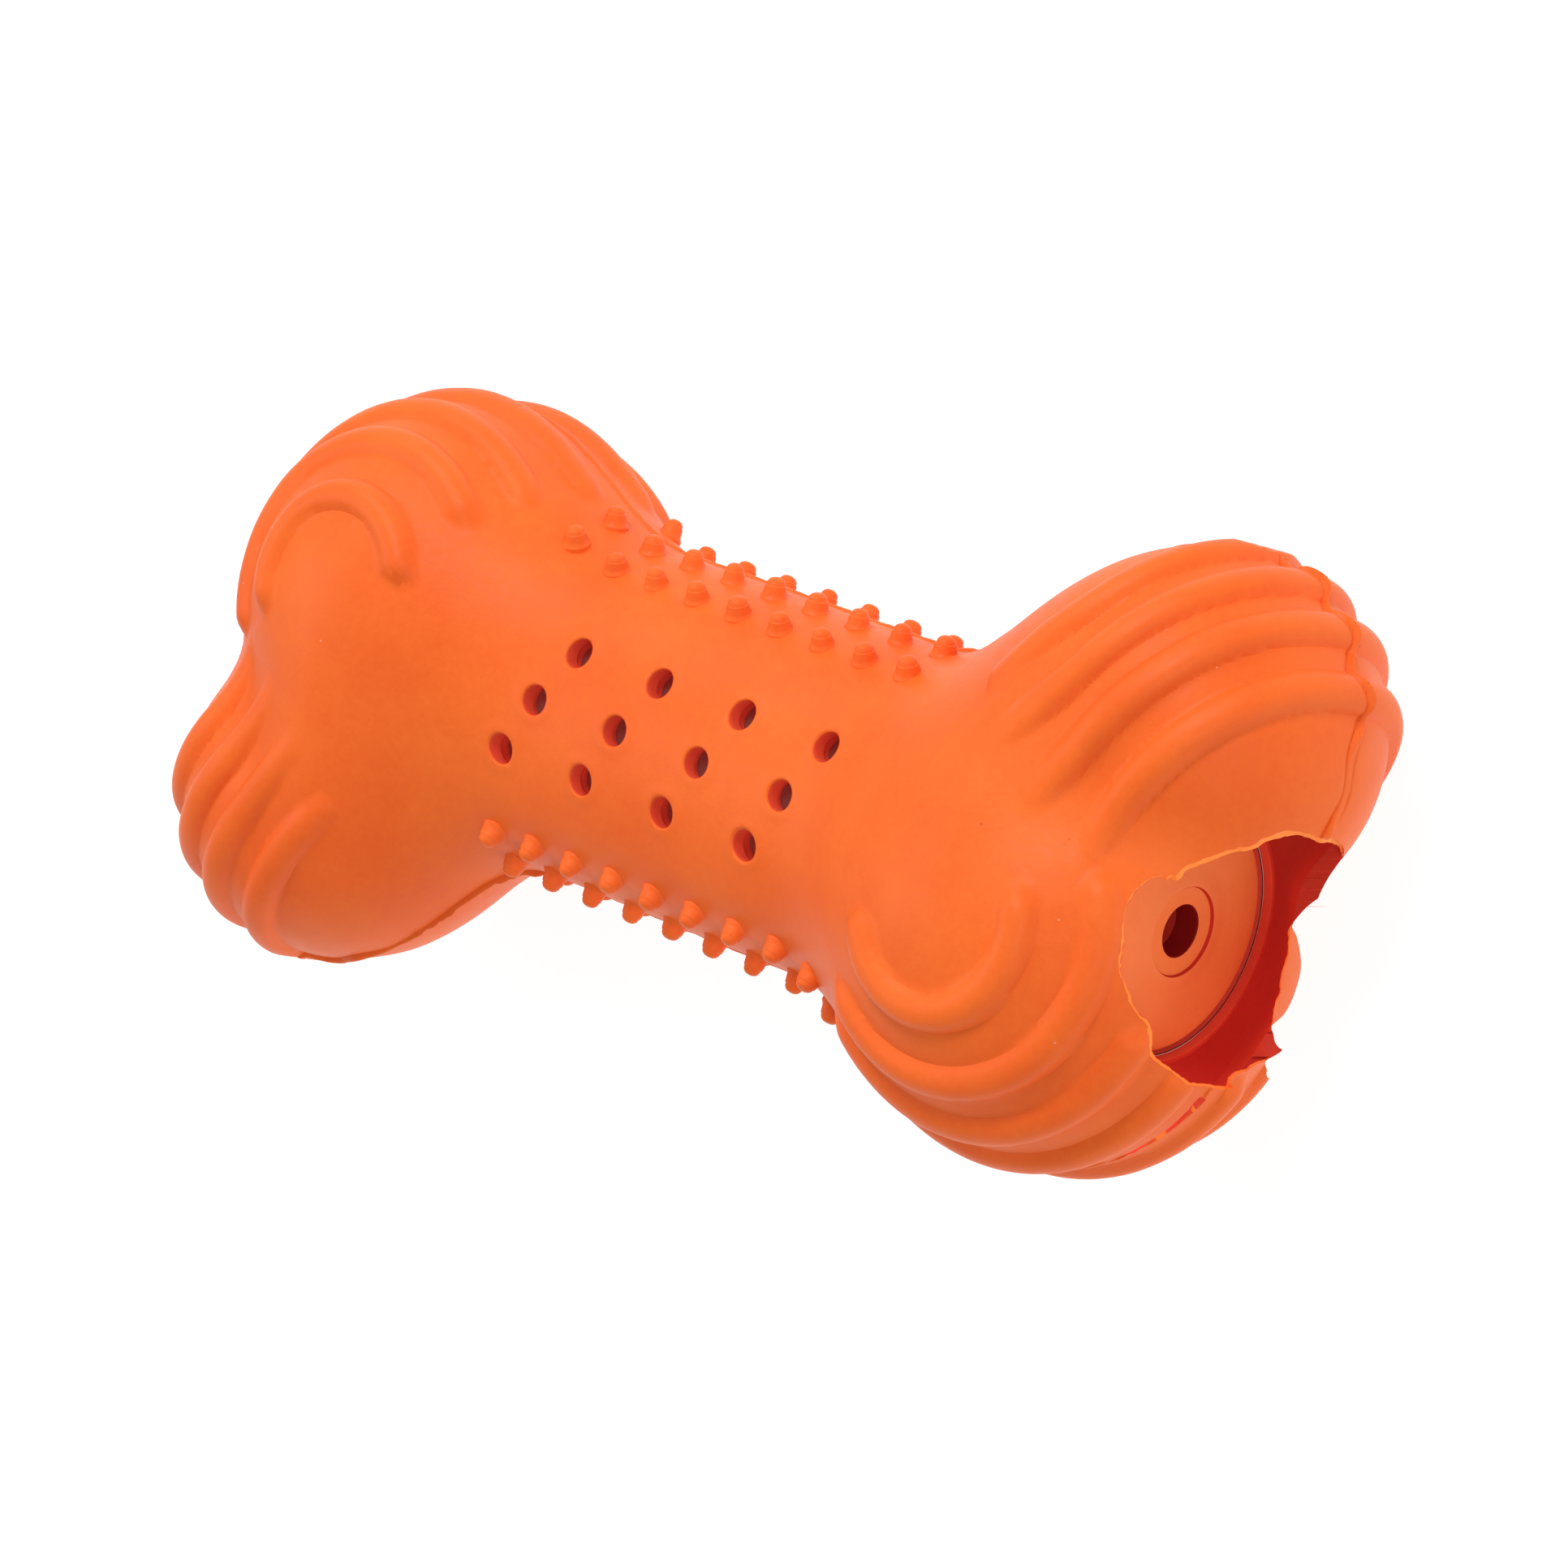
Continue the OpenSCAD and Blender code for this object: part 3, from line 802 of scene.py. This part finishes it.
def rubber_material(name, light, deep, roughness, grain, dusty=False, sheen=0.0, glow=None):
    """Moulded natural rubber: mottled, with fine grain, some dust and a soft haze at grazing angles. glow is
    painted light: an emission that stands in for light coming through the wall, and on the insert for light
    falling on it."""
    material, tree, shader, where = new_material(name)
    broad = noise(tree, where, 95.0, 3.0, 0.55)
    fine = noise(tree, where, 1500.0, 2.0, 0.6)
    mottle = remap(tree, maths(tree, "MULTIPLY_ADD", fine, 0.35, broad), 0.48, 0.88, 0.0, 1.0)
    colour = mix(tree, mottle, deep, light)
    for scale, bare, tint, amount in DUST if dusty else ():
        cells = node(tree, "ShaderNodeTexVoronoi", feature="F1", in_Scale=scale, in_Randomness=1.0)
        tree.links.new(where.outputs["Object"], cells.inputs["Vector"])
        near = remap(tree, cells.outputs["Distance"], DUST_SIZE * 1.6, DUST_SIZE * 0.6, 0.0, amount, "SMOOTHSTEP")
        split = node(tree, "ShaderNodeSeparateColor")
        tree.links.new(cells.outputs["Color"], split.inputs[0])
        chosen = maths(tree, "GREATER_THAN", split.outputs[0], bare)
        colour = mix(tree, maths(tree, "MULTIPLY", near, chosen), colour, tint)
    tree.links.new(colour, shader.inputs["Base Color"])
    rough = remap(tree, fine, 0.3, 0.7, roughness - ROUGHNESS_SPREAD, roughness + ROUGHNESS_SPREAD)
    tree.links.new(rough, shader.inputs["Roughness"])
    pits = bump(tree, noise(tree, where, 3200.0, 3.0, 0.6), grain, 0.00006)
    waves = bump(tree, noise(tree, where, 330.0, 2.0), 0.25, 0.0001, pits)
    tree.links.new(waves, shader.inputs["Normal"])
    shader.inputs["Specular IOR Level"].default_value = 0.18
    shader.inputs["Sheen Weight"].default_value = sheen
    shader.inputs["Sheen Roughness"].default_value = 0.45
    shader.inputs["Sheen Tint"].default_value = (1.0, 0.82, 0.78, 1)
    if glow:
        shader.inputs["Emission Color"].default_value = glow
        shader.inputs["Emission Strength"].default_value = 1.0
    return material


def paint_glow_below(material, start, stop, most):
    """Paints light on: makes a material's glow rise from start to stop along Y, a painted pool of light towards
    the lower wall.
    """
    tree = material.node_tree
    place = node(tree, "ShaderNodeSeparateXYZ")
    tree.links.new(node(tree, "ShaderNodeTexCoord").outputs["Object"], place.inputs["Vector"])
    strength = remap(tree, place.outputs["Y"], start, stop, 1.0, most, "SMOOTHSTEP")
    tree.links.new(strength, tree.nodes["Principled BSDF"].inputs["Emission Strength"])


def plastic_material(name, clearest, densest):
    """Thin clear plastic with faint scuffs. Patches of it are painted whiter and more opaque, as painted glints.
    """
    material, tree, shader, where = new_material(name)
    scuff = noise(tree, where, 700.0, 4.0, 0.7)
    tree.links.new(remap(tree, scuff, 0.0, 1.0, 0.03, 0.22), shader.inputs["Roughness"])
    tree.links.new(bump(tree, scuff, 0.2, 0.00005), shader.inputs["Normal"])
    glint = noise(tree, where, 110.0, 1.0)
    # Painted glints: the patches' alpha makes the whitish plastic show as bright glints
    dense = remap(tree, glint, 0.40, 0.62, clearest, densest, "SMOOTHSTEP")
    tree.links.new(dense, shader.inputs["Alpha"])
    shader.inputs["Base Color"].default_value = (0.93, 0.86, 0.82, 1)
    shader.inputs["IOR"].default_value = 1.49
    return material


# Painted light: each glow below is an emission that stands in for light. The rubber lets some light through, so
# that the walls inside glow a deep red
DEEP_RED_PAINTED_GLOW = (0.085, 0.0070, 0.0050, 1)
LIT_TORN_GLOW = (0.22, 0.055, 0.010, 1)
SHADED_TORN_GLOW = (0.03, 0.002, 0.001, 1)
INSERT_PAINTED_LIGHT = (0.10, 0.026, 0.006, 1)
SHADED_BORE_GLOW = (0.012, 0.0005, 0.0005, 1)
# Painted shade of the gap beside the tube's end, its lighter and its deeper colour
GAP_SHADE_LIGHT, GAP_SHADE_DEEP = (0.05, 0.006, 0.004, 1), (0.03, 0.004, 0.003, 1)

RUBBER = rubber_material("orange_rubber", srgb(252, 114, 42), srgb(245, 102, 36), 0.46, 0.35, True, 0.02)
# The inner rubber is a darker red copy of the rubber: painted shade, with a painted deep red glow
INSIDE_SHADE_AND_GLOW = rubber_material("inner_rubber_shade_and_glow", srgb(232, 88, 54), srgb(214, 72, 44), 0.55, 0.5, glow=DEEP_RED_PAINTED_GLOW)
# Painted light: the inside's glow grows towards the lower wall
paint_glow_below(INSIDE_SHADE_AND_GLOW, -0.009, -0.017, 4.0)
# Lit and shaded copies of the torn rubber: the near wall's edge is painted light, the far wall's painted shade,
# both with painted glow
LIT_TORN = rubber_material("lit_torn_rubber", srgb(255, 150, 66), srgb(255, 130, 50), 0.7, 1.0, glow=LIT_TORN_GLOW)
SHADED_TORN = rubber_material("shaded_torn_edge", srgb(216, 62, 42), srgb(198, 54, 36), 0.7, 0.6,
                           glow=SHADED_TORN_GLOW)
# Painted light: the insert's glow lights it where little light reaches
INSERT = rubber_material("insert_rubber", srgb(250, 134, 74), srgb(242, 122, 64), 0.5, 0.4, True,
                         glow=INSERT_PAINTED_LIGHT)
# The sleeve is a darker red copy of the insert's rubber: painted shade, with painted glow
SHADED_SLEEVE = rubber_material("shaded_sleeve_rubber", srgb(222, 66, 34), srgb(206, 54, 28), 0.5, 0.4, glow=DEEP_RED_PAINTED_GLOW)
# The disc's bore wall is painted shade, with a dim painted glow
SHADED_BORE = rubber_material("shaded_bore_rubber", srgb(150, 22, 18), srgb(128, 16, 14), 0.6, 0.3, glow=SHADED_BORE_GLOW)
CLEAR = plastic_material("clear_plastic", 0.03, 0.04)
# Painted glints: patches of whiter, more opaque plastic on the tube's edge
CLEAR_EDGE_GLINT = plastic_material("clear_plastic_edge_glint", 0.05, 0.9)
# Painted shade: a dark line for the gap beside the tube's end
GAP_SHADE_LINE = rubber_material("tube_gap_painted_shade", GAP_SHADE_LIGHT, GAP_SHADE_DEEP, 0.8, 0.0)


# ---------------------------------------------------------------- the two shells

# Stops on the shaft, neck, big lobe, crotch and small lobe, and how far up each ring is, in degrees from the
# seam to the ridge
OUTER_COUNTS = (56, 12, 110, 14, 120)
INNER_COUNTS = (24, 6, 44, 6, 48)
OUTER_RINGS = list(np.arange(14) * 0.36) + list(np.linspace(5.4, 89.1, 74))
INNER_RINGS = list(np.linspace(0, 84, 22))
SHELL_SHARP = 32
# The mouth's torn faces lie past this X, and this near to the insert's axis
TORN_FROM_X, TORN_R = 41.5, 16
# The near wall's torn edge is painted light; past this share it is painted shade
NEAR_SHARE = 0.3        # of the bone's depth along the view, what counts as the near wall


def paint(obj):
    """The material of each face: 0 outside, 1 inside, painted shade and glow, 2 the near wall's torn edge,
    painted light, 3 the far wall's, painted shade.
    """
    centres = centres_of(obj)
    deep = field(centres)
    by_mouth = (centres[:, 0] > TORN_FROM_X) & (np.hypot(centres[:, 1], centres[:, 2]) < TORN_R)
    kind = np.where(deep < -WALL + 0.06, 1, 0)
    edge = np.nonzero((deep < -0.16) & (deep > -WALL + 0.06) & by_mouth)[0]
    if len(edge):
        way = centres[edge] - CAM_AT
        near, far = near_and_far(unit(way))
        # Painted light and shade: torn faces near the camera get the lit copy, far ones the shaded copy
        kind[edge] = np.where(np.linalg.norm(way, axis=1) < lerp(near, far, NEAR_SHARE), 2, 3)
    # The slit's and the holes' walls get the inside's painted shade and glow
    kind[(deep < -0.12) & (slit(centres) > 0.1)] = 1
    for x, y in HOLES:
        kind[(deep < -0.16) & (np.hypot(centres[:, 0] - x, centres[:, 1] - y) < HOLE_R + 0.1)] = 1
    return kind


def shell(name, lower):
    body = new_object(name, *bone_half(0.0, OUTER_COUNTS, OUTER_RINGS, True, lower))
    hollow = new_object("hollow", *bone_half(WALL, INNER_COUNTS, INNER_RINGS, False, lower))
    tools = [new_object("nubs", *nubs(lower)), hollow, new_object("holes", *hole_cutters(lower, HOLE_R)),
             new_object("below", *seam_box(lower))] + [new_object("mouth", *part) for part in mouth_cutters()]
    for tool in tools + [body]:
        outward(tool)
    combine(body, list(zip(tools, ["UNION"] + ["DIFFERENCE"] * (len(tools) - 1))))
    drop(*tools)
    largest_part(body)
    hand_over(body, name, (RUBBER, INSIDE_SHADE_AND_GLOW, LIT_TORN, SHADED_TORN), paint(body), SHELL_SHARP)


shell("upper_shell", False)
shell("lower_shell", True)


# ---------------------------------------------------------------- the insert

LATHE_SEGMENTS = 144
INSERT_SHARP = 40
SLEEVE_HOLE_MORE = 0.2      # how much wider in radius the sleeve's holes are than the shell's


def rounded(corners, radius, steps=4):
    """Rounds the corners of a closed outline. radius is one number for each corner."""
    out = []
    n = len(corners)
    for i, (p, r) in enumerate(zip(corners, radius)):
        p = np.array(p, float)
        if r == 0:
            out.append(tuple(p))
            continue
        a = np.array(corners[i - 1], float) - p
        b = np.array(corners[(i + 1) % n], float) - p
        a, b = a / np.linalg.norm(a) * r, b / np.linalg.norm(b) * r
        for s in range(steps + 1):
            t = s / steps
            out.append(tuple(p + a * (1 - t) ** 2 + b * t ** 2))
    return out


def insert_piece(name, profile, materials, sort, cutter=()):
    """One turned piece of the insert. sort gives each face's material from its middle and its normal."""
    obj = outward(new_object(name, *lathe(profile, LATHE_SEGMENTS)))
    if cutter:
        tools = [outward(new_object("cut", *part)) for part in cutter]
        combine(obj, [(tool, "DIFFERENCE") for tool in tools])
        drop(*tools)
    facing = np.array([f.normal[:] for f in obj.data.polygons])
    hand_over(obj, name, materials, sort(centres_of(obj), facing), INSERT_SHARP)


def turned_in(centres, facing):
    """True for faces that look towards the insert's axis."""
    return centres[:, 1] * facing[:, 1] + centres[:, 2] * facing[:, 2] < -0.5


def sleeve_faces(centres, facing):
    """Faces turned to the axis, and those far from the ends, get the second material, the inside's painted shade
    and glow.
    """
    return (turned_in(centres, facing) | (np.abs(centres[:, 0]) < TUBE_HALF - DISC_T - 0.5)).astype(int)


def disc_faces(centres, facing):
    """The bore's wall gets the second material, painted shade, and the ring's inner wall the third, a painted
    shade crescent.
    """
    in_bore = np.hypot(centres[:, 1], centres[:, 2]) < BORE_R + 0.3
    return np.where(turned_in(centres, facing), np.where(in_bore, 1, 2), 0)


def tube_faces(centres, facing):
    """The tube's ends get a painted shade line and, outside it, a thin painted glint."""
    r = np.hypot(centres[:, 1], centres[:, 2])
    end = np.abs(centres[:, 0]) > TUBE_HALF - 0.06
    return np.where(end & (r < TUBE_IN + 0.07), 2, np.where(end & (r < TUBE_IN + 0.13), 1, 0))


SLEEVE_SHAPE = rounded([(SLEEVE_IN, -SLEEVE_HALF), (SLEEVE_R, -SLEEVE_HALF),
                        (SLEEVE_R, SLEEVE_HALF), (SLEEVE_IN, SLEEVE_HALF)], [0.08, 0.14, 0.14, 0.08])
insert_piece("inner_sleeve", SLEEVE_SHAPE, [SHADED_SLEEVE, INSIDE_SHADE_AND_GLOW], sleeve_faces,
             [hole_cutters(lower, HOLE_R + SLEEVE_HOLE_MORE) for lower in (False, True)])

# Rings on the tube's end, as (distance out from its inner wall, how far below the end)
TUBE_END = [(0, 0.03), (0.03, 0), (0.07, 0), (0.13, 0), (0.17, 0), (0.20, 0.03)]
TUBE_SHAPE = [(TUBE_IN + r, -(TUBE_HALF - below)) for r, below in TUBE_END]
TUBE_SHAPE += [(TUBE_IN + r, TUBE_HALF - below) for r, below in TUBE_END[::-1]]
insert_piece("crackle_tube", TUBE_SHAPE, [CLEAR, CLEAR_EDGE_GLINT, GAP_SHADE_LINE], tube_faces)


def disc_shape(side):
    """A disc with a low ring round its bore. The ring's outer flank slopes, and its floor is sunk."""
    floor_h = DISC_T + RING_H - 0.28
    corners = [(BORE_R, 0), (DISC_R, 0), (DISC_R, DISC_T - 0.6), (DISC_R - 0.25, DISC_T - 0.12),
               (DISC_R - 0.9, DISC_T), (RING_R + 1.6, DISC_T), (RING_R + 0.2, DISC_T + RING_H),
               (RING_R, DISC_T + RING_H), (RING_R - 0.05, floor_h), (BORE_R, floor_h)]
    shape = rounded(corners, [0, 0.1, 0.3, 0.3, 0.3, 0.6, 0.15, 0.06, 0.05, 0.16])
    return [(r, side * (TUBE_HALF - DISC_T + a)) for r, a in shape]


for name, side in (("open_end_disc", 1), ("closed_end_disc", -1)):
    insert_piece(name, disc_shape(side), [INSERT, SHADED_BORE, SHADED_TORN], disc_faces)


# ---------------------------------------------------------------- floor, light and camera

FLOOR_HALF = 3
# Name, place, size and power of each light, and what they all point at
LIGHTS = (
    ("key", (0.10, 0.55, 0.83), 0.28, 4.0),
    ("side", (-0.40, 0.62, 0.68), 0.35, 2.2),
    ("left", (-0.75, -0.1, 0.70), 0.4, 1.6),
    ("fill", (0.78, -0.05, 0.62), 0.4, 1.7),
)
LIGHTS_AIM = (0, 0, 0.017)
WORLD_STRENGTH = 0.36


def floor_material():
    material, tree, shader, where = new_material("floor")
    tone = remap(tree, noise(tree, where, 3.0, 2.0), 0.0, 1.0, 0.24, 0.26)
    tree.links.new(tone, shader.inputs["Base Color"])
    shader.inputs["Roughness"].default_value = 0.9
    shader.inputs["Specular IOR Level"].default_value = 0.1
    shader.inputs["Emission Color"].default_value = (1, 1, 1, 1)
    shader.inputs["Emission Strength"].default_value = 0.90
    return material


def area_light(name, place, size, power):
    data = bpy.data.lights.new(name, "AREA")
    data.shape = "SQUARE"
    data.size = size
    data.energy = power
    obj = bpy.data.objects.new(name, data)
    bpy.context.scene.collection.objects.link(obj)
    obj.location = place
    obj.rotation_euler = (Vector(LIGHTS_AIM) - Vector(place)).to_track_quat("-Z", "Y").to_euler()


corners = [(x * FLOOR_HALF, y * FLOOR_HALF, 0) for x, y in ((-1, -1), (1, -1), (1, 1), (-1, 1))]
floor = new_object("floor", corners, [[0, 1, 2, 3]])
floor.data.materials.append(floor_material())

world = bpy.data.worlds.new("studio")
world.use_nodes = True
world.node_tree.nodes["Background"].inputs["Color"].default_value = (1, 1, 1, 1)
world.node_tree.nodes["Background"].inputs["Strength"].default_value = WORLD_STRENGTH
bpy.context.scene.world = world
for light in LIGHTS:
    area_light(*light)

camera_data = bpy.data.cameras.new("camera")
camera_data.sensor_width = 36
camera_data.lens = FOCAL / IMAGE * camera_data.sensor_width
camera_data.clip_start = 0.02
camera = bpy.data.objects.new("camera", camera_data)
bpy.context.scene.collection.objects.link(camera)
axes = Matrix((CAM_RIGHT, CAM_UP, CAM_BACK)).transposed().to_4x4()
camera.matrix_world = Matrix.Translation(Vector(CAM_AT + [0, 0, REST_H]) * MM) @ axes
bpy.context.scene.camera = camera
bpy.context.scene.view_settings.view_transform = "Standard"
